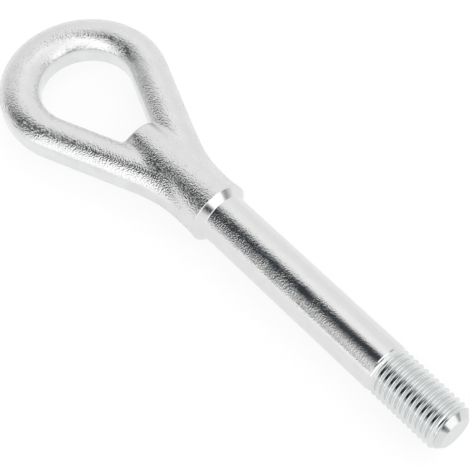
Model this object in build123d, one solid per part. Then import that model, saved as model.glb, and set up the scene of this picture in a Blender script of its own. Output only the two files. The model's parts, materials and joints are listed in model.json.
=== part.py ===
import os
from math import cos, radians, sin

from build123d import *

# Screw-in tow eye: one steel forging, with its shank and thread turned on the same piece.
# The shank lies along X with the threaded tip towards +X, and the eye lies flat in the XY plane.
# The origin is on the shank's axis, in the plane of the collar's sharp edge. Sizes are in millimetres.

# Shank and thread, turned
shank_diameter = 16.0
shank_end = 71.9               # collar edge to the end of the plain shank
thread_diameter = 15.8         # outside diameter of the M16 x 2 thread
thread_length = 27.6           # from the end of the plain shank to the tip
runout_diameter = 14.2         # bottom of the thread where it meets the shank
runout_length = 3.0            # over which the thread comes up to its full height
tip_diameter = 10.9            # flat end of the tip, inside its 45 degree chamfer

# Collar, turned as a 45 degree seat
collar_diameter = 20.6
collar_land = 0.4              # narrow cylinder between the forging and the seat

# Neck, forged
neck_height = 14.8             # thickness where the neck ends at the hole
neck_width = 10.8              # its width there
waist_inset = 0.4              # how far the waist, its narrowest place, is set in from the collar's edge
waist_distance = 8.2           # collar edge to the waist
flank_radius = 41.6            # hollow curve from the waist to a leg
valley_radius = 2.0            # soft valley between the neck's crown and each leg

# Eye, forged and then punched
leg_angle = 22.2               # each leg's outside edge to the shank's axis
rim_width = 13.0               # eye's radius less the hole's radius
rim_thickness = 12.4
hole_radius = 14.7
hole_offset = 0.75             # hole's centre from the eye's centre, towards the neck
hole_end_width = 9.3           # width of the hole where it ends at the neck
hole_corner_radius = 2.0
punch_depth = 0.35             # how far the punched wall cuts into the oval bar
hole_edge = 0.6                # eased edge round both mouths of the hole

collar_radius = collar_diameter / 2
waist_radius = collar_radius - waist_inset
shank_radius = shank_diameter / 2
thread_radius = thread_diameter / 2
tip_x = shank_end + thread_length
eye_radius = hole_radius + rim_width
touching = 0.01                # nearness at which an edge counts as lying on a surface

# Plan of one leg. Its outside edge is tangent to the eye's arc and to the flank's hollow arc, which
# in turn is tangent to the waist, so the eye's centre follows from those sizes.
slope_sin = sin(radians(leg_angle))
slope_cos = cos(radians(leg_angle))
outward = Vector(slope_sin, slope_cos)
flank_centre = Vector(-waist_distance, waist_radius + flank_radius)
eye_reach = (eye_radius + flank_radius - flank_centre.Y * slope_cos) / slope_sin
eye_x = flank_centre.X - eye_reach
eye_centre = Vector(eye_x, 0)
hole_x = eye_x + hole_offset
hole_centre = Vector(hole_x, 0)

# The bar is as wide as what the hole leaves, so it is stouter at the crown than along the legs.
crown_half_width = (rim_width + hole_offset + punch_depth) / 2
leg_half_width = (rim_width - hole_offset * slope_sin + punch_depth) / 2
bar_centre = (eye_centre + hole_centre) / 2
bar_radius = (eye_radius + hole_radius - punch_depth) / 2
bar_flank_radius = flank_radius + leg_half_width  # flank's arc at the middle of the bar


def leg_bar():
    """One half of the eye: an oval bar from the crown, along a leg and into the neck."""
    crown = bar_centre - Vector(bar_radius, 0)
    leg_start = bar_centre + outward * bar_radius
    leg_end = flank_centre - outward * bar_flank_radius
    waist = flank_centre - Vector(0, bar_flank_radius)
    crown_section = Pos(crown) * Plane.XZ * Ellipse(crown_half_width, rim_thickness / 2)
    across_leg = Plane(leg_start, x_dir=outward, z_dir=(slope_cos, -slope_sin))
    leg_section = across_leg * Ellipse(leg_half_width, rim_thickness / 2)
    arch = TangentArc([crown, leg_start], tangent=(0, 1))
    leg = Wire([
        Line(leg_start, leg_end),
        TangentArc([leg_end, waist], tangent=(slope_cos, -slope_sin)),
        Line(waist, Vector(0, waist.Y)),
    ])
    return sweep([crown_section, leg_section], path=arch, multisection=True) + sweep(leg_section, path=leg)


def hole_outline():
    """Pear-shaped outline of the punched hole, its sides parallel to the legs."""
    end_y = hole_end_width / 2
    end_x = hole_x + (hole_radius - end_y * slope_cos) / slope_sin
    side = hole_centre + outward * hole_radius
    mirrored_side = Vector(side.X, -side.Y)
    outline = Wire([
        ThreePointArc(mirrored_side, hole_centre - Vector(hole_radius, 0), side),
        Line(side, (end_x, end_y)),
        Line((end_x, end_y), (end_x, -end_y)),
        Line((end_x, -end_y), mirrored_side),
    ])
    corners = [v for v in outline.vertices() if v.X > side.X + hole_corner_radius]
    return end_x, outline.fillet_2d(hole_corner_radius, corners)


def neck_stem(hole_end_x):
    """Stout neck that swells from an oval at the hole to the collar's round edge.

    It runs on into the hole with the same taper, so that the punch trims its end."""
    start_x = hole_end_x - 3 * hole_corner_radius
    run_on = (start_x + collar_land) / (hole_end_x + collar_land)
    half_width = collar_radius + (neck_width / 2 - collar_radius) * run_on
    half_height = collar_radius + (neck_height / 2 - collar_radius) * run_on
    at_hole = Plane.YZ.offset(start_x) * Ellipse(half_width, half_height)
    at_collar = Plane.YZ.offset(-collar_land) * Circle(collar_radius)
    return loft([at_hole, at_collar])


def lies_on(point, body):
    """Whether a point is on the outside of a body."""
    return body.shell().distance_to(point) < touching


def forged_eye():
    """Two legs and the neck as one forging, with soft valleys and a punched, eased hole."""
    hole_end_x, outline = hole_outline()
    neck = neck_stem(hole_end_x)
    leg = leg_bar()
    legs = [leg, mirror(leg, about=Plane.XZ)]
    forging = legs[0] + legs[1] + neck
    valleys = [
        edge for edge in forging.edges()
        if (edge @ 0.5).X < -waist_distance and lies_on(edge @ 0.5, neck)
        and (lies_on(edge @ 0.5, legs[0]) or lies_on(edge @ 0.5, legs[1]))
    ]
    forging = fillet(valleys, valley_radius)
    punch = extrude(make_face(outline), amount=rim_thickness + neck_height, both=True)
    forging -= punch
    mouths = [
        edge for edge in forging.edges()
        if lies_on(edge @ 0.5, punch) and edge.geom_type != GeomType.LINE
    ]
    return chamfer(mouths, hole_edge)


def turned_end():
    """Collar land, conical seat, plain shank, thread run-out, thread and chamfered tip."""
    seat_end = collar_radius - shank_radius
    runout_depth = shank_radius - runout_diameter / 2
    tip_chamfer = thread_radius - tip_diameter / 2
    profile = Polyline(
        (-collar_land, 0),
        (-collar_land, collar_radius),
        (0, collar_radius),
        (seat_end, shank_radius),
        (shank_end, shank_radius),
        (shank_end + runout_depth, runout_diameter / 2),
        (shank_end + runout_length, thread_radius),
        (tip_x - tip_chamfer, thread_radius),
        (tip_x, tip_diameter / 2),
        (tip_x, 0),
        close=True,
    )
    return revolve(make_face(profile), axis=Axis.X)


tow_eye = forged_eye() + turned_end()

os.makedirs("parts", exist_ok=True)
export_step(tow_eye, "parts/tow_eye.step")
print("tow eye", tow_eye.bounding_box(), round(tow_eye.volume), "cubic mm")
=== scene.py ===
import json
import math

import bmesh
import bpy
import numpy as np
from mathutils import Matrix, Vector


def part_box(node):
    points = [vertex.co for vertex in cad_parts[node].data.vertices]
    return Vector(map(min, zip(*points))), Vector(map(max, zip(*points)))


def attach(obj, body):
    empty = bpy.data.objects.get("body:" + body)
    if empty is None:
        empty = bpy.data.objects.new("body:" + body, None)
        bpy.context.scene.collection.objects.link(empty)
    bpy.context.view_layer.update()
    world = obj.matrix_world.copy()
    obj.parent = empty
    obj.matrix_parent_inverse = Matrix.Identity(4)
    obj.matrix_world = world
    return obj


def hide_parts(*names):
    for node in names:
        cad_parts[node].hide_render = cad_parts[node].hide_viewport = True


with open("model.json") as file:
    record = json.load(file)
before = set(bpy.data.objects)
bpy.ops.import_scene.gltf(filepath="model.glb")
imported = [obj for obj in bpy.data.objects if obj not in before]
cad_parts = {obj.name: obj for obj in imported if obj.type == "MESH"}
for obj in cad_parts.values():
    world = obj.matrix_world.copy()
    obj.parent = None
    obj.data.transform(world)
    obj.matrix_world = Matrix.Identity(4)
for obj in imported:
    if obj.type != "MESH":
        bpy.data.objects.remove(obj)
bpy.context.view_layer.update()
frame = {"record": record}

mm = 0.001
mounts = {mount["name"]: mount for mount in frame["record"]["mounts"]}
lowest, highest = (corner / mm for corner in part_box("tow_eye"))
tipX = highest.x
holeX = mounts["eye"]["pos_m"][0] / mm
collarRadius = highest.z
shankRadius = mounts["shank"]["dims"]["r_mm"]
crestRadius = mounts["thread"]["dims"]["r_mm"]


# Small helpers for node trees
def calc(tree, operation, *values):
    node = tree.nodes.new("ShaderNodeMath")
    node.operation = operation
    for socket, value in zip(node.inputs, values):
        if isinstance(value, (int, float)):
            socket.default_value = value
        else:
            tree.links.new(value, socket)
    return node.outputs[0]


def addNode(tree, kind, links=None, **settings):
    node = tree.nodes.new(kind)
    for name, value in settings.items():
        setattr(node, name, value)
    for name, value in (links or {}).items():
        if isinstance(value, bpy.types.NodeSocket):
            tree.links.new(value, node.inputs[name])
        else:
            node.inputs[name].default_value = value
    return node


def vectorCalc(tree, operation, *vectors):
    return addNode(tree, "ShaderNodeVectorMath", dict(enumerate(vectors)), operation=operation).outputs


def newGeometryTree(name, inputs):
    tree = bpy.data.node_groups.new(name, "GeometryNodeTree")
    tree.interface.new_socket("Geometry", in_out="INPUT", socket_type="NodeSocketGeometry")
    for label, kind in inputs.items():
        tree.interface.new_socket(label, in_out="INPUT", socket_type="NodeSocket" + kind)
    tree.interface.new_socket("Geometry", in_out="OUTPUT", socket_type="NodeSocketGeometry")
    return tree, tree.nodes.new("NodeGroupInput").outputs


def plainMesh(obj):
    graph = bpy.context.evaluated_depsgraph_get()
    return bpy.data.meshes.new_from_object(obj.evaluated_get(graph), depsgraph=graph)


def runTree(obj, tree, values):
    modifier = obj.modifiers.new(tree.name, "NODES")
    modifier.node_group = tree
    for item in tree.interface.items_tree:
        if item.in_out == "INPUT" and item.name in values:
            modifier[item.identifier] = values[item.name]
    mesh = plainMesh(obj)
    obj.modifiers.remove(modifier)
    return mesh


def newObject(name, data):
    obj = bpy.data.objects.new(name, data)
    bpy.context.scene.collection.objects.link(obj)
    return obj


def dropObject(obj):
    mesh = obj.data
    bpy.data.objects.remove(obj)
    bpy.data.meshes.remove(mesh)


# Seat and shank, turned, in millimetres
turning = {
    "columns": 128,
    "seatCorner": 0.3,
    "shankCorner": 0.1,
    "seatFillet": 0.35,
    "shankEnd": 71.9,
    "grooveRadius": 7.7,       # bottom of the run-out between the shank and the thread
    "rowLength": 4.0,
}

# Zinc plate. Sizes are in millimetres.
zinc = {
    "colour": (0.785, 0.79, 0.782, 1),
    "coolColour": (0.772, 0.79, 0.789, 1),       # thread
    "paintedWallReflection": (0.832, 0.848, 0.845, 1),   # hole's wall and trimmed band, lighter: a painted brighter reflection of the floor
    "worn": (0.66, 0.67, 0.67, 1),     # where the plate is thin or stained
    "toneRange": (0.3, 0.7),           # part of the noise that becomes broad, uneven tone
    "grainSize": 0.46,                 # shot-blasted skin of the forging
    "grainDepth": 0.13,
    "toneSize": 6.0,
    "toneWear": 0.25,
    "forgedRoughness": (0.12, 0.2),
    "wallSmoothness": 0.9,             # how much of the grain the sheared walls lose
    "pitSize": 7.0,                    # one cell in a few has a pit
    "pitShare": 0.16,
    "pitReach": (0.03, 0.05),          # least reach in a cell, and what chance adds to it
    "pitRaggedness": 0.05,
    "pitRagScale": 2200,
    "pitEdge": 0.04,
    "pitDepth": 0.12,
    "pitWear": 0.8,
    "turnedGrainSize": 0.42,
    "turnedGrainDepth": 0.068,
    "turnedToneSize": 3.5,
    "turnedToneWear": 0.2,
    "turnedRoughness": (0.06, 0.11),
    "grainThins": (40, 60),            # the shank's grain thins out along here
    "grainThinned": 0.4,
    "patchScale": 130,                 # the grain comes and goes in patches
    "patchRange": (0.22, 0.52),
    "seatEnds": (1.5, 4),              # from the seat's finish to the shank's
    "seatGrainDepth": 0.015,
    "threadBlend": 1,                  # from the shank's finish to the thread's
    "threadGrainDepth": 0.005,
    "smoothRoughness": 0.025,          # seat and thread
    "tipBlend": (2.6, 1.6),            # before the end of the tip
    "tipWear": 0.45,
    "toolMarkSize": 0.22,              # rings left by the lathe
    "toolMarkDepth": 0.001,
    "toolMarkStretch": (1, 0.004, 0.004),
}


def newShaderGroup(name, inputs, outputs):
    tree = bpy.data.node_groups.new(name, "ShaderNodeTree")
    for label, kind in inputs.items():
        tree.interface.new_socket(label, in_out="INPUT", socket_type="NodeSocket" + kind)
    for label, kind in outputs.items():
        tree.interface.new_socket(label, in_out="OUTPUT", socket_type="NodeSocket" + kind)
    return tree, tree.nodes.new("NodeGroupInput").outputs, tree.nodes.new("NodeGroupOutput").inputs


def useGroup(tree, group, values):
    node = addNode(tree, "ShaderNodeGroup", node_tree=group)
    for name, value in values.items():
        node.inputs[name].default_value = value
    return node.outputs


def stretch(tree, value, low, high, newLow=0.0, newHigh=1.0):
    return addNode(tree, "ShaderNodeMapRange", {
        "Value": value, "From Min": low, "From Max": high, "To Min": newLow, "To Max": newHigh,
    }, interpolation_type="SMOOTHSTEP").outputs["Result"]


def noiseAt(tree, place, scale, detail=2.0, roughness=0.5):
    return addNode(tree, "ShaderNodeTexNoise", {
        "Vector": place, "Scale": scale, "Detail": detail, "Roughness": roughness}).outputs["Fac"]


def grainGroup():                           # small bumps under the plate, with broader uneven tone
    tree, inputs, outputs = newShaderGroup(
        "zincGrain", {"Size": "Float", "Tone Size": "Float"}, {"Height": "Float", "Tone": "Float"})
    place = addNode(tree, "ShaderNodeTexCoord").outputs["Object"]
    fine = noiseAt(tree, place, calc(tree, "DIVIDE", 1 / mm, inputs["Size"]), 0.0)
    broad = noiseAt(tree, place, calc(tree, "DIVIDE", 1 / mm, inputs["Tone Size"]), 3.0, 0.6)
    tree.links.new(fine, outputs["Height"])
    tree.links.new(stretch(tree, broad, *zinc["toneRange"]), outputs["Tone"])
    return tree


def pitGroup():                             # a pit near the middle of some cells
    tree, inputs, outputs = newShaderGroup(
        "pits", {"Size": "Float", "Share": "Float"}, {"Mask": "Float"})
    place = addNode(tree, "ShaderNodeTexCoord").outputs["Object"]
    cells = addNode(tree, "ShaderNodeTexVoronoi", {
        "Vector": place, "Scale": calc(tree, "DIVIDE", 1 / mm, inputs["Size"])})
    chance = addNode(tree, "ShaderNodeSeparateColor", {"Color": cells.outputs["Color"]}).outputs
    chosen = calc(tree, "LESS_THAN", chance["Red"], inputs["Share"])
    least, added = zinc["pitReach"]
    reach = calc(tree, "MULTIPLY_ADD", chance["Green"], added, least)
    uneven = calc(tree, "MULTIPLY", noiseAt(tree, place, zinc["pitRagScale"]), zinc["pitRaggedness"])
    near = calc(tree, "SUBTRACT", calc(tree, "ADD", reach, uneven), cells.outputs["Distance"])
    inside = stretch(tree, near, 0.0, zinc["pitEdge"])
    tree.links.new(calc(tree, "MULTIPLY", inside, chosen), outputs["Mask"])
    return tree


zincGrain = grainGroup()
pits = pitGroup()


def newMaterial(name):
    material = bpy.data.materials.new(name)
    material.use_nodes = True
    tree = material.node_tree
    shader = tree.nodes["Principled BSDF"]
    shader.inputs["Metallic"].default_value = 1
    return material, tree, shader


def mixColours(tree, share, first, second):
    return addNode(tree, "ShaderNodeMix", {
        "Factor": share, 6: first, 7: second}, data_type="RGBA").outputs[2]


def bumpFrom(tree, height):                 # height in millimetres
    return addNode(tree, "ShaderNodeBump", {"Height": height, "Distance": mm}).outputs["Normal"]


def forgedZinc():
    material, tree, shader = newMaterial("forgedZinc")
    wall = addNode(tree, "ShaderNodeAttribute", attribute_name="smoothWallPaintedLight").outputs["Fac"]
    rough = calc(tree, "SUBTRACT", 1.0, calc(tree, "MULTIPLY", wall, zinc["wallSmoothness"]))
    grain = useGroup(tree, zincGrain, {"Size": zinc["grainSize"], "Tone Size": zinc["toneSize"]})
    pit = useGroup(tree, pits, {"Size": zinc["pitSize"], "Share": zinc["pitShare"]})["Mask"]
    height = calc(tree, "MULTIPLY", calc(tree, "MULTIPLY", grain["Height"], zinc["grainDepth"]), rough)
    height = calc(tree, "SUBTRACT", height, calc(tree, "MULTIPLY", pit, zinc["pitDepth"]))
    stained = calc(tree, "MULTIPLY", grain["Tone"], zinc["toneWear"])
    worn = calc(tree, "MAXIMUM", stained, calc(tree, "MULTIPLY", pit, zinc["pitWear"]))
    # Painted reflection: the sheared walls get a lighter colour, so they show the floor brighter
    colour = mixColours(tree, wall, zinc["colour"], zinc["paintedWallReflection"])
    roughness = stretch(tree, grain["Tone"], 0.0, 1.0, *zinc["forgedRoughness"])
    tree.links.new(mixColours(tree, worn, colour, zinc["worn"]), shader.inputs["Base Color"])
    tree.links.new(roughness, shader.inputs["Roughness"])
    tree.links.new(bumpFrom(tree, height), shader.inputs["Normal"])
    return material


def turnedZinc():
    material, tree, shader = newMaterial("turnedZinc")
    grain = useGroup(tree, zincGrain, {"Size": zinc["turnedGrainSize"], "Tone Size": zinc["turnedToneSize"]})
    place = addNode(tree, "ShaderNodeTexCoord").outputs["Object"]
    along = vectorCalc(tree, "MULTIPLY", place, zinc["toolMarkStretch"])[0]
    rings = noiseAt(tree, along, 1 / (zinc["toolMarkSize"] * mm), 3.0)
    patchy = stretch(tree, noiseAt(tree, place, zinc["patchScale"], 3.0, 0.6), *zinc["patchRange"])
    # Masks along the axis
    x = addNode(tree, "ShaderNodeSeparateXYZ", {0: place}).outputs["X"]
    shankEnd = turning["shankEnd"]
    onThread = stretch(tree, x, shankEnd * mm, (shankEnd + zinc["threadBlend"]) * mm)
    onTip = stretch(tree, x, *((tipX - before) * mm for before in zinc["tipBlend"]))
    onShank = stretch(tree, x, *(end * mm for end in zinc["seatEnds"]))
    thinned = stretch(tree, x, *(end * mm for end in zinc["grainThins"]), 1.0, zinc["grainThinned"])
    # Depth of the grain, and the lathe's rings
    depth = stretch(tree, onShank, 0.0, 1.0, zinc["seatGrainDepth"], zinc["turnedGrainDepth"])
    depth = calc(tree, "MULTIPLY", depth, thinned)
    change = calc(tree, "SUBTRACT", zinc["threadGrainDepth"], depth)
    depth = calc(tree, "MULTIPLY_ADD", onThread, change, depth)
    height = calc(tree, "MULTIPLY", calc(tree, "MULTIPLY", grain["Height"], depth), patchy)
    height = calc(tree, "ADD", height, calc(tree, "MULTIPLY", rings, zinc["toolMarkDepth"]))
    colour = mixColours(tree, onThread, zinc["colour"], zinc["coolColour"])
    stained = calc(tree, "MULTIPLY", grain["Tone"], zinc["turnedToneWear"])
    worn = calc(tree, "MULTIPLY_ADD", onTip, zinc["tipWear"], stained)
    tree.links.new(mixColours(tree, worn, colour, zinc["worn"]), shader.inputs["Base Color"])
    # Rougher on the plain shank than on the seat and the thread
    plain = calc(tree, "MULTIPLY", onShank, calc(tree, "SUBTRACT", 1.0, onThread))
    smooth = zinc["smoothRoughness"]
    rougher = calc(tree, "SUBTRACT", stretch(tree, grain["Tone"], 0.0, 1.0, *zinc["turnedRoughness"]), smooth)
    tree.links.new(calc(tree, "MULTIPLY_ADD", plain, rougher, smooth), shader.inputs["Roughness"])
    tree.links.new(bumpFrom(tree, height), shader.inputs["Normal"])
    return material


forgedSkin = forgedZinc()
turnedSkin = turnedZinc()
print("finishes made")


# Forged eye and neck, in millimetres
forging = {
    "legAngle": 22.2,          # outside edge of a leg to the shank's axis
    "rimWidth": 13.0,
    "rimThickness": 12.4,
    "sectionPower": 2.05,      # 2 is a true oval, more is squarer
    "holeShift": 0.75,         # hole's centre from the eye's centre, towards the neck
    "holeEndWidth": 9.3,
    "holeCorner": 2.2,
    "punchDepth": 0.33,        # how far the punched wall cuts into the oval bar
    "trimDepth": 0.35,         # the same for the trimmed flash outside
    "trimFades": (-34, -16),   # the trimmed band dies out along here, into the neck
    "edgeEase": 0.7,           # roundness of the punched and trimmed edges
    "punchedBand": (0.05, 0.6),    # how far inside the skin its smooth walls turn rough
    "trimmedBand": (0.05, 0.5),
    "neckHeight": 14.8,
    "neckWidth": 10.8,
    "neckRunOn": 2.0,          # the neck dies out on the legs this far past the hole's end
    "crownPower": 2.6,         # squareness of the neck at the hole, where 2 is a true oval
    "waistWidth": 19.8,
    "flankRadius": 41.6,
    "valleyEase": 2.3,         # soft valley between the neck and a leg
    "collarEase": 0.3,         # the same close behind the collar
    "easeRamp": (0.1, 0.8),    # from one to the other, where 0 is the collar and 1 the hole
    "collarLand": 0.4,
    "waveHeight": 0.008,       # unevenness of the forged skin
    "waveLength": (4, 12),
    "waves": 30,
    "waveFades": (1, 7),       # distance behind the collar's edge
    "seed": 7,
    "roundColumns": 84,        # half of the eye's round end
    "legColumns": 33,
    "cornerColumns": 54,
    "rows": 58,
    "rowEvening": 4,           # columns on each side that even out where the rows lie
    "edgeCrowding": 4.0,       # how much closer the rows lie where the section turns
    "crowdingSpread": 25,
    "columnSamples": (300, 600),   # points that a column is drawn with, then spaced evenly
    "columnEnds": 0.004,
    "halvings": 40,
    "pressRounds": 2,
    "pressStep": 0.01,
    "pressLimit": 1,
    "leastSlope": 0.2,
}

legSin = math.sin(math.radians(forging["legAngle"]))
legCos = math.cos(math.radians(forging["legAngle"]))
eyeX = holeX - forging["holeShift"]
eyeRadius = eyeX - lowest.x
holeRadius = eyeRadius - forging["rimWidth"]
barHalfHeight = forging["rimThickness"] / 2
legBarWidth = (forging["rimWidth"] - forging["holeShift"] * legSin
               + forging["punchDepth"] + forging["trimDepth"])
holeEndX = holeX + (holeRadius - forging["holeEndWidth"] / 2 * legCos) / legSin
flankY = forging["waistWidth"] / 2 + forging["flankRadius"]
flankX = eyeX + (eyeRadius + forging["flankRadius"] - flankY * legCos) / legSin
legLength = (flankX - eyeX) * legCos - flankY * legSin


def smoothMin(a, b, ease):
    near = np.maximum(ease - np.abs(a - b), 0) / ease
    return np.minimum(a, b) - near * near * ease / 4


def smoothMax(a, b, ease):
    return -smoothMin(-a, -b, ease)


def ramp(x, start, end):
    t = np.clip((x - start) / (end - start), 0, 1)
    return t * t * (3 - 2 * t)


def outFrom(x, y, centreX):                 # distance out from a pear's middle, and along its leg
    along = (x - centreX) * legCos - y * legSin
    out = (x - centreX) * legSin + y * legCos
    return np.where(along < 0, np.hypot(x - centreX, y), out), along


def outsideDepth(x, y):                     # how deep a point of the plan lies inside the untrimmed bar
    out, along = outFrom(x, y, eyeX)
    flank = np.hypot(x - flankX, y - flankY) - forging["flankRadius"]
    bent = np.where(x > flankX, flankY - forging["flankRadius"] - y, flank)
    return np.where(along > legLength, bent, eyeRadius - out) + forging["trimDepth"]


def legForm(x, y, z):
    fromOutside = outsideDepth(x, y)
    fromHole = outFrom(x, y, holeX)[0] - holeRadius + forging["punchDepth"]
    isBent = outFrom(x, y, eyeX)[1] > legLength
    fromHole = np.where(isBent, legBarWidth - fromOutside, fromHole)
    across = np.abs(fromHole - fromOutside) / (fromHole + fromOutside)
    power = forging["sectionPower"]
    bar = ((across ** power + (np.abs(z) / barHalfHeight) ** power) ** (1 / power) - 1) * barHalfHeight
    trim = forging["trimDepth"] * (1 - ramp(x, *forging["trimFades"]))
    return smoothMax(bar, trim - fromOutside, forging["edgeEase"])


def neckForm(x, y, z):
    t = (x + forging["collarLand"]) / (holeEndX + forging["collarLand"])   # 0 at the collar, 1 at the hole
    halfWidth = collarRadius + (forging["neckWidth"] / 2 - collarRadius) * t
    halfHeight = collarRadius + (forging["neckHeight"] / 2 - collarRadius) * t
    power = 2 + (forging["crownPower"] - 2) * ramp(t, 0, 1)
    oval = (np.abs(y / halfWidth) ** power + np.abs(z / halfHeight) ** power) ** (1 / power)
    return np.maximum((oval - 1) * halfHeight, holeEndX - forging["neckRunOn"] - x), t


def holeForm(x, y):
    side = outFrom(x, y, holeX)[0] - holeRadius
    end = x - holeEndX
    corner = forging["holeCorner"]
    rounded = np.hypot(np.maximum(side + corner, 0), np.maximum(end + corner, 0)) - corner
    return np.where((side > -corner) & (end > -corner), rounded, np.maximum(side, end))


def skinWaves(points):                      # low uneven waves, the same on each run
    draw = np.random.default_rng(forging["seed"])
    height = np.zeros(len(points))
    for _ in range(forging["waves"]):
        direction = draw.normal(size=3)
        direction /= np.linalg.norm(direction)
        number = 2 * math.pi / draw.uniform(*forging["waveLength"])
        height += np.sin(points @ direction * number + draw.uniform(0, 2 * math.pi))
    return height / math.sqrt(forging["waves"]) * forging["waveHeight"]


def forgedForm(points):                     # below zero inside the forging, about in millimetres
    x, y, z = points[:, 0], np.abs(points[:, 1]), points[:, 2]
    neck, t = neckForm(x, y, z)
    softer = forging["valleyEase"] - forging["collarEase"]
    ease = forging["collarEase"] + softer * ramp(t, *forging["easeRamp"])
    body = smoothMin(legForm(x, y, z), neck, ease)
    return smoothMax(body, -holeForm(x, y), forging["edgeEase"])


def skinForm(points):                       # the same with its uneven skin, which dies out at the collar
    return forgedForm(points) + skinWaves(points) * ramp(-points[:, 0], *forging["waveFades"])


def pressToForm(points):                    # moves points onto the form's surface
    step, limit = forging["pressStep"], forging["pressLimit"]
    for _ in range(forging["pressRounds"]):
        value = skinForm(points)
        slope = np.stack([
            (skinForm(points + step * axis) - skinForm(points - step * axis)) / (2 * step)
            for axis in np.eye(3)
        ], axis=1)
        steep = np.maximum((slope ** 2).sum(1), forging["leastSlope"])
        points = points - np.clip(value / steep, -limit, limit)[:, None] * slope
    return points


def planColumns():                          # where the grid's columns start and end, on half of the plan
    legTurn = math.radians(90 - forging["legAngle"])
    turn = np.linspace(math.pi, legTurn, forging["roundColumns"], endpoint=False)
    toCircle = np.stack([np.cos(turn), np.sin(turn)], axis=1)
    outward = np.array([legSin, legCos])
    holeCentre, eyeCentre = np.array([holeX, 0]), np.array([eyeX, 0])
    hole = [holeCentre + holeRadius * toCircle]
    outside = [eyeCentre + eyeRadius * toCircle]
    cornerStart = holeEndX - forging["holeCorner"]
    sideLength = (cornerStart - holeX - holeRadius * legSin) / legCos
    along = np.linspace(0, sideLength, forging["legColumns"], endpoint=False)[:, None] * (legCos, -legSin)
    hole.append(holeCentre + outward * holeRadius + along)
    outside.append(eyeCentre + outward * eyeRadius + along)
    # From the hole's corner the columns fan out over the flank, up to the collar
    bend = np.linspace(0, math.pi / 2, forging["cornerColumns"], endpoint=False)
    x = holeEndX + forging["holeCorner"] * (np.sin(bend) - 1)
    out = holeRadius + forging["holeCorner"] * (np.cos(bend) - 1)
    hole.append(np.stack([x, (out - (x - holeX) * legSin) / legCos], axis=1))
    flankStart = eyeX + eyeRadius * legSin + sideLength * legCos
    x = np.linspace(flankStart, -forging["collarLand"], forging["cornerColumns"], endpoint=False)
    outside.append(np.stack([x, outlineAt(x)], axis=1))
    # The hole's straight end looks along the neck, to a quarter of the collar
    quarter = np.linspace(0, math.pi / 2, turning["columns"] // 4 + 1)
    endHalf = (holeRadius - forging["holeCorner"] - (holeEndX - holeX) * legSin) / legCos
    y = endHalf * (1 - quarter * 2 / math.pi)
    hole.append(np.stack([np.full_like(quarter, holeEndX), y], axis=1))
    x = np.full_like(quarter, -forging["collarLand"])
    outside.append(np.stack([x, collarRadius * np.cos(quarter)], axis=1))
    return np.concatenate(hole), np.concatenate(outside), len(quarter)


def surfaceBetween(inside, beyond, pointsAt):   # halves the gap until it closes on the form's surface
    for _ in range(forging["halvings"]):
        middle = (inside + beyond) / 2
        within = forgedForm(pointsAt(middle)) < 0
        inside, beyond = np.where(within, middle, inside), np.where(within, beyond, middle)
    return inside


def outlineAt(x):                           # outermost y of the forging's middle plane
    inside, beyond = np.full_like(x, 0.5 * shankRadius), np.full_like(x, eyeRadius)
    return surfaceBetween(inside, beyond, lambda y: np.stack([x, y, np.zeros_like(x)], axis=1))


def heightAt(x, y):                         # top of the forging above a point of the plan
    inside, beyond = np.zeros_like(x), np.full_like(x, 1.2 * collarRadius)
    return surfaceBetween(inside, beyond, lambda z: np.stack([x, y, z], axis=1))


def columnCurve(hole, outside, endHeight):  # one column of the upper half, and where its rows crowd
    drawn, spaced = forging["columnSamples"]
    end = forging["columnEnds"]
    share = (1 - np.cos(np.linspace(end, math.pi - end, drawn))) / 2
    plan = hole + (outside - hole) * share[:, None]
    top = np.column_stack([plan, heightAt(plan[:, 0], plan[:, 1])])
    curve = np.vstack([[*hole, 0], top, [*outside, endHeight]])
    length = np.concatenate([[0], np.cumsum(np.linalg.norm(np.diff(curve, axis=0), axis=1))])
    even = np.linspace(0, length[-1], spaced)
    curve = np.column_stack([np.interp(even, length, curve[:, k]) for k in range(3)])
    step = np.diff(curve, axis=0)
    step /= np.linalg.norm(step, axis=1)[:, None]
    turn = np.concatenate([[0], np.linalg.norm(np.diff(step, axis=0), axis=1), [0]])
    spread = np.hanning(forging["crowdingSpread"])
    turn = np.convolve(turn, spread / spread.sum(), mode="same")
    weight = np.cumsum(even[1] + forging["edgeCrowding"] * turn)
    return curve, (weight - weight[0]) / (weight[-1] - weight[0])


def forgedGrid():                           # rows go round the eye, columns from the hole over to the outside
    hole, outside, ends = planColumns()
    endHeight = np.zeros(len(hole))
    endHeight[-ends:] = np.sqrt(np.maximum(collarRadius ** 2 - outside[-ends:, 1] ** 2, 0))
    drawn = [columnCurve(*column) for column in zip(hole, outside, endHeight)]
    rows = np.linspace(0, 1, forging["rows"] + 1)
    places = np.array([np.interp(rows, weight, np.linspace(0, 1, len(weight))) for _, weight in drawn])
    near = forging["rowEvening"]
    padded = np.concatenate([places[near:0:-1], places, places[-2:-near - 2:-1]])
    places = sum(padded[k:k + len(places)] for k in range(2 * near + 1)) / (2 * near + 1)
    along = np.linspace(0, 1, len(drawn[0][0]))
    half = np.array([
        [np.interp(place, along, curve[:, k]) for k in range(3)]
        for place, (curve, _) in zip(places, drawn)
    ]).transpose(0, 2, 1)
    around = np.concatenate([half, half[-2:0:-1] * (1, -1, 1)])
    return np.stack([around, around * (1, 1, -1)])


def smoothWallsPaintedLight(points):                    # 1 where the hole was punched or the flash trimmed, else 0; there the grain is smoother and a brighter floor reflection is painted in
    x, y = points[:, 0], np.abs(points[:, 1])
    punched = 1 - ramp(holeForm(x, y), *forging["punchedBand"])
    trimmed = 1 - ramp(outsideDepth(x, y) - forging["trimDepth"], *forging["trimmedBand"])
    return np.maximum(punched, trimmed * (1 - ramp(x, *forging["trimFades"])))


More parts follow.
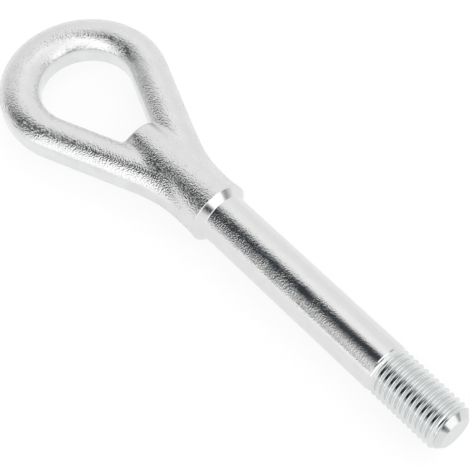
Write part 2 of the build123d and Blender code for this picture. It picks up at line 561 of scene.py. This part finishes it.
def forgedSkinMesh():
    grid = forgedGrid()
    count, columns, rows = grid.shape[:3]
    points = pressToForm(grid.reshape(-1, 3)).reshape(grid.shape)
    tolerance = 0.001
    atCollar = grid[:, :, -1, 0] > -forging["collarLand"] - tolerance
    points[:, :, -1][atCollar] = grid[:, :, -1][atCollar]
    number = np.arange(count * columns * rows).reshape(count, columns, rows)
    beside = np.roll(number, -1, axis=1)
    faces = np.stack([number[..., :-1], beside[..., :-1], beside[..., 1:], number[..., 1:]], axis=-1)
    mesh = bpy.data.meshes.new("forging")
    mesh.from_pydata((points * mm).reshape(-1, 3).tolist(), [], faces.reshape(-1, 4).tolist())
    # The same mask makes the walls smoother and paints a brighter reflection on them
    walls = mesh.attributes.new("smoothWallPaintedLight", "FLOAT", "POINT")
    walls.data.foreach_set("value", smoothWallsPaintedLight(points.reshape(-1, 3)))
    return mesh


forgedMesh = forgedSkinMesh()
print("forging:", len(forgedMesh.polygons), "faces")


def addRings(bm, rings):                    # a tube through rings of points
    loops = [[bm.verts.new(point) for point in ring] for ring in rings]
    for a, b in zip(loops, loops[1:]):
        for i in range(len(a)):
            j = (i + 1) % len(a)
            bm.faces.new((a[i], a[j], b[j], b[i]))


grooveX = turning["shankEnd"] + shankRadius - turning["grooveRadius"]


def easedCorner(before, corner, after, radius, steps=4):
    inward = (corner - before).normalized()
    onward = (after - corner).normalized()
    reach = radius * math.tan(inward.angle(onward) / 2)
    start, end = corner - inward * reach, corner + onward * reach
    points = [start - inward * radius]
    for t in np.linspace(0, 1, steps + 1):
        points.append(start.lerp(corner, t).lerp(corner.lerp(end, t), t))
    return points + [end + onward * radius]


def turnedProfile():
    corners = [
        (Vector((-forging["collarLand"], collarRadius)), 0),
        (Vector((0, collarRadius)), turning["seatCorner"]),
        (Vector((collarRadius - shankRadius, shankRadius)), turning["seatFillet"]),
        (Vector((turning["shankEnd"], shankRadius)), turning["shankCorner"]),
        (Vector((grooveX, turning["grooveRadius"])), 0),
    ]
    points = [corners[0][0]]
    for (before, _), (corner, radius), (after, _) in zip(corners, corners[1:], corners[2:]):
        points += easedCorner(before, corner, after, radius)
    points.append(corners[-1][0])
    rows = [points[0]]
    for point in points[1:]:
        gap = (point - rows[-1]).length
        cuts = max(1, round(gap / turning["rowLength"]))
        rows += [rows[-1].lerp(point, (i + 1) / cuts) for i in range(cuts)]
    return rows


def circleAt(x, radius):
    angles = np.linspace(0, 2 * math.pi, turning["columns"], endpoint=False)
    return [Vector((x, radius * math.cos(a), radius * math.sin(a))) * mm for a in angles]


# Thread, a metric one of 2 mm pitch, in millimetres
thread = {
    "pitch": 2.0,
    "rowsPerTurn": 20,
    # Where the rows of half a turn lie, from the crest over the flank to the root
    "rowPlaces": (0, 0.07, 0.11, 0.15, 0.2, 0.45, 0.68, 0.75, 0.8, 0.88, 1),
    "rootRadius": 6.77,
    "crestHalf": 0.13,
    "flank": 1.732,            # rise of a 60 degree thread's flank
    "fadeLength": 2.4,         # over which the thread comes up to full height
    "crestEase": 0.28,
    "rootEase": 0.22,
    "phase": 0.845,            # turn at which a crest passes the start
    "tipRadius": 5.45,
    "tipBulge": 0.07,          # how much the chamfer bulges
    "seamGap": 0.002,
}


def shapeCurve(mapping, heights):           # straight runs through evenly spaced heights
    points = mapping.curves[0].points
    for k, height in enumerate(heights):
        x = k / (len(heights) - 1)
        point = points.new(x, height) if 0 < k < len(heights) - 1 else points[-1 if k else 0]
        point.location = (x, height)
        point.handle_type = "VECTOR"
    mapping.update()


def threadTree():
    tree, inputs = newGeometryTree("threadTurns", {
        "Rows": "Int", "Columns": "Int", "Turns": "Float", "Start": "Float", "Tip": "Float", "Pitch": "Float",
        "Crest": "Float", "Root": "Float", "Groove": "Float", "Crest Half": "Float", "Flank": "Float",
        "Fade": "Float", "Phase": "Float", "Tip Radius": "Float"})
    grid = addNode(tree, "GeometryNodeMeshGrid", {
        "Vertices X": inputs["Rows"], "Vertices Y": inputs["Columns"]})
    across = addNode(tree, "ShaderNodeSeparateXYZ", {0: grid.outputs["UV Map"]})
    around = across.outputs["Y"]
    turn = calc(tree, "MULTIPLY", across.outputs["X"], inputs["Turns"])
    # Rows follow the helix and crowd at the corners of its profile
    side = calc(tree, "ABSOLUTE", calc(tree, "MULTIPLY_ADD", calc(tree, "FRACT", turn), 2.0, -1.0))
    spacing = addNode(tree, "ShaderNodeFloatCurve", {"Value": side})
    shapeCurve(spacing.mapping, thread["rowPlaces"])
    aside = calc(tree, "MULTIPLY", spacing.outputs[0], calc(tree, "MULTIPLY", inputs["Pitch"], 0.5))
    ahead = calc(tree, "SIGN", calc(tree, "SUBTRACT", calc(tree, "FRACT", turn), 0.5))
    crest = calc(tree, "ADD", calc(tree, "SUBTRACT", calc(tree, "FLOOR", turn), inputs["Phase"]), around)
    x = calc(tree, "MULTIPLY_ADD", calc(tree, "SUBTRACT", crest, 0.5), inputs["Pitch"], inputs["Start"])
    x = calc(tree, "MULTIPLY_ADD", aside, ahead, x)
    x = calc(tree, "MINIMUM", calc(tree, "MAXIMUM", x, inputs["Start"]), inputs["Tip"])
    fall = calc(tree, "MULTIPLY", calc(tree, "SUBTRACT", aside, inputs["Crest Half"]), inputs["Flank"])
    depth = calc(tree, "SUBTRACT", inputs["Crest"], inputs["Root"])
    crestEase, rootEase = thread["crestEase"] * mm, thread["rootEase"] * mm
    fall = calc(tree, "SMOOTH_MIN", calc(tree, "SMOOTH_MAX", fall, 0.0, crestEase), depth, rootEase)
    form = calc(tree, "SUBTRACT", inputs["Crest"], fall)
    fadeEnd = calc(tree, "ADD", inputs["Start"], inputs["Fade"])
    risen = addNode(tree, "ShaderNodeMapRange", {
        "Value": x, "From Min": inputs["Start"], "From Max": fadeEnd}, interpolation_type="SMOOTHERSTEP")
    height = calc(tree, "SUBTRACT", form, inputs["Groove"])
    radius = calc(tree, "MULTIPLY_ADD", height, risen.outputs["Result"], inputs["Groove"])
    short = calc(tree, "SUBTRACT", inputs["Tip"], x)
    run = calc(tree, "SUBTRACT", inputs["Crest"], inputs["Tip Radius"])
    share = calc(tree, "MINIMUM", calc(tree, "DIVIDE", short, run), 1.0)
    bulge = calc(tree, "MULTIPLY_ADD", share, -thread["tipBulge"], 1 + thread["tipBulge"])
    radius = calc(tree, "MINIMUM", radius, calc(tree, "MULTIPLY_ADD", short, bulge, inputs["Tip Radius"]))
    angle = calc(tree, "MULTIPLY", around, 2 * math.pi)
    place = addNode(tree, "ShaderNodeCombineXYZ", {
        "X": x,
        "Y": calc(tree, "MULTIPLY", radius, calc(tree, "COSINE", angle)),
        "Z": calc(tree, "MULTIPLY", radius, calc(tree, "SINE", angle)),
    })
    wound = addNode(tree, "GeometryNodeSetPosition", {
        "Geometry": grid.outputs["Mesh"], "Position": place.outputs[0]})
    joined = addNode(tree, "GeometryNodeMergeByDistance", {
        "Geometry": wound.outputs[0], "Distance": thread["seamGap"] * mm})
    tree.links.new(joined.outputs[0], tree.nodes.new("NodeGroupOutput").inputs[0])
    return tree


def threadMesh():
    turns = math.ceil((tipX - grooveX) / thread["pitch"]) + 2
    holder = newObject("threadHolder", bpy.data.meshes.new("threadHolder"))
    mesh = runTree(holder, threadTree(), {
        "Rows": turns * thread["rowsPerTurn"] + 1,
        "Columns": turning["columns"] + 1,
        "Turns": float(turns),
        "Start": grooveX * mm,
        "Tip": tipX * mm,
        "Pitch": thread["pitch"] * mm,
        "Crest": crestRadius * mm,
        "Root": thread["rootRadius"] * mm,
        "Groove": turning["grooveRadius"] * mm,
        "Crest Half": thread["crestHalf"] * mm,
        "Flank": thread["flank"],
        "Fade": thread["fadeLength"] * mm,
        "Phase": thread["phase"],
        "Tip Radius": thread["tipRadius"] * mm,
    })
    dropObject(holder)
    return mesh


# The forging, the turned rings and the thread, joined into one closed mesh
joining = {
    "gap": 0.003,              # in millimetres
    "sharpAngle": 40,
}


def towEyeMesh():
    bm = bmesh.new()
    bm.from_mesh(forgedMesh)
    addRings(bm, [circleAt(p.x, p.y) for p in turnedProfile()])
    bm.from_mesh(threadMesh())
    bmesh.ops.remove_doubles(bm, verts=bm.verts, dist=joining["gap"] * mm)
    tip = [e for e in bm.edges if e.is_boundary]
    centre = bm.verts.new((tipX * mm, 0, 0))
    for edge in tip:
        bm.faces.new((*edge.verts, centre))
    bmesh.ops.recalc_face_normals(bm, faces=bm.faces)
    landMiddle = -forging["collarLand"] * mm * 0.5
    for face in bm.faces:
        face.smooth = True
        face.material_index = 0 if face.calc_center_median().x < landMiddle else 1
    mesh = bpy.data.meshes.new("towEye")
    bm.to_mesh(mesh)
    bm.free()
    mesh.materials.append(forgedSkin)
    mesh.materials.append(turnedSkin)
    mesh.set_sharp_from_angle(angle=math.radians(joining["sharpAngle"]))
    return mesh


towEye = newObject("towEye", towEyeMesh())
bpy.data.meshes.remove(forgedMesh)
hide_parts("tow_eye")
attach(towEye, "root")
print("tow eye:", len(towEye.data.polygons), "faces")

# Camera, in metres
view = {
    "place": (0.20998, -0.15486, 0.38449),
    "right": (0.6584, 0.7514, -0.0439),
    "up": (-0.6134, 0.5695, 0.5472),
    "back": (0.4362, -0.3334, 0.8358),
    "lens": 117.43,
    "sensor": 36,
}
camera = newObject("camera", bpy.data.cameras.new("camera"))
camera.data.lens = view["lens"]
camera.data.sensor_width = view["sensor"]
axes = Matrix((view["right"], view["up"], view["back"])).transposed()
camera.matrix_world = Matrix.Translation(view["place"]) @ axes.to_4x4()
bpy.context.scene.camera = camera

# Studio: a white tent with dark gaps, and a white floor. Angles are in degrees.
studio = {
    "level": 0.934,
    "key": {"azimuth": -127, "elevation": 41, "from": 0.0, "to": 1.8, "gain": 1.6, "most": 1.44, "ease": 0.3},
    "gaps": [
        {"azimuth": 220, "elevation": 52, "turn": 10, "dark": 0.946, "half": (0.26, 0.67), "soft": (0.2, 0.2)},
        {"azimuth": 238, "elevation": 24, "turn": 33, "dark": 0.93, "half": (0.08, 0.28), "soft": (0.19, 0.1)},
        {"azimuth": 207, "elevation": 26, "turn": 23, "dark": 0.66, "half": (0.66, 1.4), "soft": (1.5, 1.5)},
        {"azimuth": -19, "elevation": 15, "turn": 0, "dark": 0.98, "half": (0.15, 0.2), "soft": (0.16, 0.16)},
        {"azimuth": 43, "elevation": 12, "turn": 0, "dark": 0.86, "half": (0.11, 0.24), "soft": (0.3, 0.25)},
    ],
    "windows": [
        {"azimuth": 12, "elevation": 27, "turn": 0, "light": 0.4, "half": (0.38, 0.42), "soft": (0.05, 0.12)},
    ],
    "gapTint": (0.88, 1.0, 1.13, 1),
    "tintBelow": 0.35,         # level of light under which the gaps are tinted
    # Pool of light on the floor, out of the frame beyond the tip, in metres
    "pool": {"centre": (0.34, 0.006, -0.0103), "half": (0.16, 0.05, 1.0), "edge": (0.6, 1.3), "light": 1.2},
    "floorColour": (0.24, 0.24, 0.24, 1),
    "floorGlow": 0.8,          # lifts the floor to white for the camera
    "floorMirrored": 0.95,     # how much of that glow the metal shows
    "floorHalf": 2.0,
}


def towards(azimuth, elevation):
    flat = math.cos(math.radians(elevation))
    return Vector((flat * math.cos(math.radians(azimuth)), flat * math.sin(math.radians(azimuth)),
                   math.sin(math.radians(elevation))))


def dot(tree, a, b):
    return vectorCalc(tree, "DOT_PRODUCT", a, b)["Value"]


def patchGroup():                           # soft-edged flat patch of the tent, seen along a direction
    tree, inputs, outputs = newShaderGroup("tentPatch", {
        "Direction": "Vector", "Middle": "Vector", "Side": "Vector", "Up": "Vector",
        "Half Width": "Float", "Half Height": "Float", "Soft Width": "Float", "Soft Height": "Float"},
        {"Mask": "Float"})
    ahead = dot(tree, inputs["Direction"], inputs["Middle"])
    depth = calc(tree, "MAXIMUM", ahead, 0.001)     # never divides by zero
    mask = calc(tree, "GREATER_THAN", ahead, 0.0)
    for axis, size in (("Side", "Width"), ("Up", "Height")):
        aside = calc(tree, "DIVIDE", dot(tree, inputs["Direction"], inputs[axis]), depth)
        half, soft = inputs["Half " + size], inputs["Soft " + size]
        start, end = calc(tree, "SUBTRACT", half, soft), calc(tree, "ADD", half, soft)
        edge = stretch(tree, calc(tree, "ABSOLUTE", aside), start, end, 1.0, 0.0)
        mask = calc(tree, "MULTIPLY", mask, edge)
    tree.links.new(mask, outputs["Mask"])
    return tree


def patchMask(tree, group, direction, patch):
    middle = towards(patch["azimuth"], patch["elevation"])
    level = Vector((0, 0, 1)).cross(middle).normalized()
    turn = Matrix.Rotation(math.radians(patch["turn"]), 3, middle)
    node = addNode(tree, "ShaderNodeGroup", node_tree=group)
    tree.links.new(direction, node.inputs["Direction"])
    node.inputs["Middle"].default_value = middle
    node.inputs["Side"].default_value = turn @ level
    node.inputs["Up"].default_value = turn @ middle.cross(level)
    for k, size in enumerate(("Width", "Height")):
        node.inputs["Half " + size].default_value = patch["half"][k]
        node.inputs["Soft " + size].default_value = patch["soft"][k]
    return node.outputs["Mask"]


def tentWorld():
    world = bpy.data.worlds.new("studio")
    world.use_nodes = True
    tree = world.node_tree
    direction = addNode(tree, "ShaderNodeTexCoord").outputs["Generated"]
    key = studio["key"]
    facing = dot(tree, direction, towards(key["azimuth"], key["elevation"]))
    lit = stretch(tree, facing, key["from"], key["to"])
    light = calc(tree, "MULTIPLY_ADD", lit, key["gain"], studio["level"])
    light = calc(tree, "SMOOTH_MIN", light, key["most"], key["ease"])
    tentPatch = patchGroup()
    openness = 1.0
    for gap in studio["gaps"]:
        kept = calc(tree, "MULTIPLY_ADD", patchMask(tree, tentPatch, direction, gap), -gap["dark"], 1.0)
        openness = calc(tree, "MULTIPLY", kept, openness)
    light = calc(tree, "MULTIPLY", light, openness)
    for window in studio["windows"]:
        mask = patchMask(tree, tentPatch, direction, window)
        light = calc(tree, "MULTIPLY_ADD", mask, window["light"], light)
    seen = addNode(tree, "ShaderNodeLightPath").outputs["Is Camera Ray"]
    strength = addNode(tree, "ShaderNodeMix", {"Factor": seen, 2: light, 3: 1.0}).outputs[0]
    tree.links.new(strength, tree.nodes["Background"].inputs["Strength"])
    pale = stretch(tree, light, 0.0, studio["tintBelow"])
    tint = mixColours(tree, calc(tree, "MAXIMUM", pale, seen), studio["gapTint"], (1, 1, 1, 1))
    tree.links.new(tint, tree.nodes["Background"].inputs["Color"])
    return world


def floorMaterial():
    material, tree, shader = newMaterial("floor")
    shader.inputs["Metallic"].default_value = 0
    shader.inputs["Roughness"].default_value = 1
    shader.inputs["Specular IOR Level"].default_value = 0
    shader.inputs["Base Color"].default_value = studio["floorColour"]
    shader.inputs["Emission Color"].default_value = (1, 1, 1, 1)
    path = addNode(tree, "ShaderNodeLightPath").outputs
    mirrored = calc(tree, "MAXIMUM", path["Is Glossy Ray"], path["Is Transmission Ray"])
    mirrored = calc(tree, "MULTIPLY", mirrored, studio["floorMirrored"])
    seen = calc(tree, "MAXIMUM", path["Is Camera Ray"], mirrored)
    place = addNode(tree, "ShaderNodeTexCoord").outputs["Object"]
    pool = studio["pool"]
    offset = vectorCalc(tree, "SUBTRACT", place, pool["centre"])[0]
    reach = vectorCalc(tree, "LENGTH", vectorCalc(tree, "DIVIDE", offset, pool["half"])[0])["Value"]
    glow = stretch(tree, reach, *pool["edge"], studio["floorGlow"] + pool["light"], studio["floorGlow"])
    tree.links.new(calc(tree, "MULTIPLY", seen, glow), shader.inputs["Emission Strength"])
    return material


def floorMesh():
    half, z = studio["floorHalf"], lowest.z * mm
    mesh = bpy.data.meshes.new("floor")
    corners = [(-half, -half, z), (half, -half, z), (half, half, z), (-half, half, z)]
    mesh.from_pydata(corners, [], [(0, 1, 2, 3)])
    mesh.materials.append(floorMaterial())
    return mesh


newObject("floor", floorMesh())
bpy.context.scene.world = tentWorld()
bpy.context.scene.view_settings.view_transform = "Standard"
print("camera and studio set")
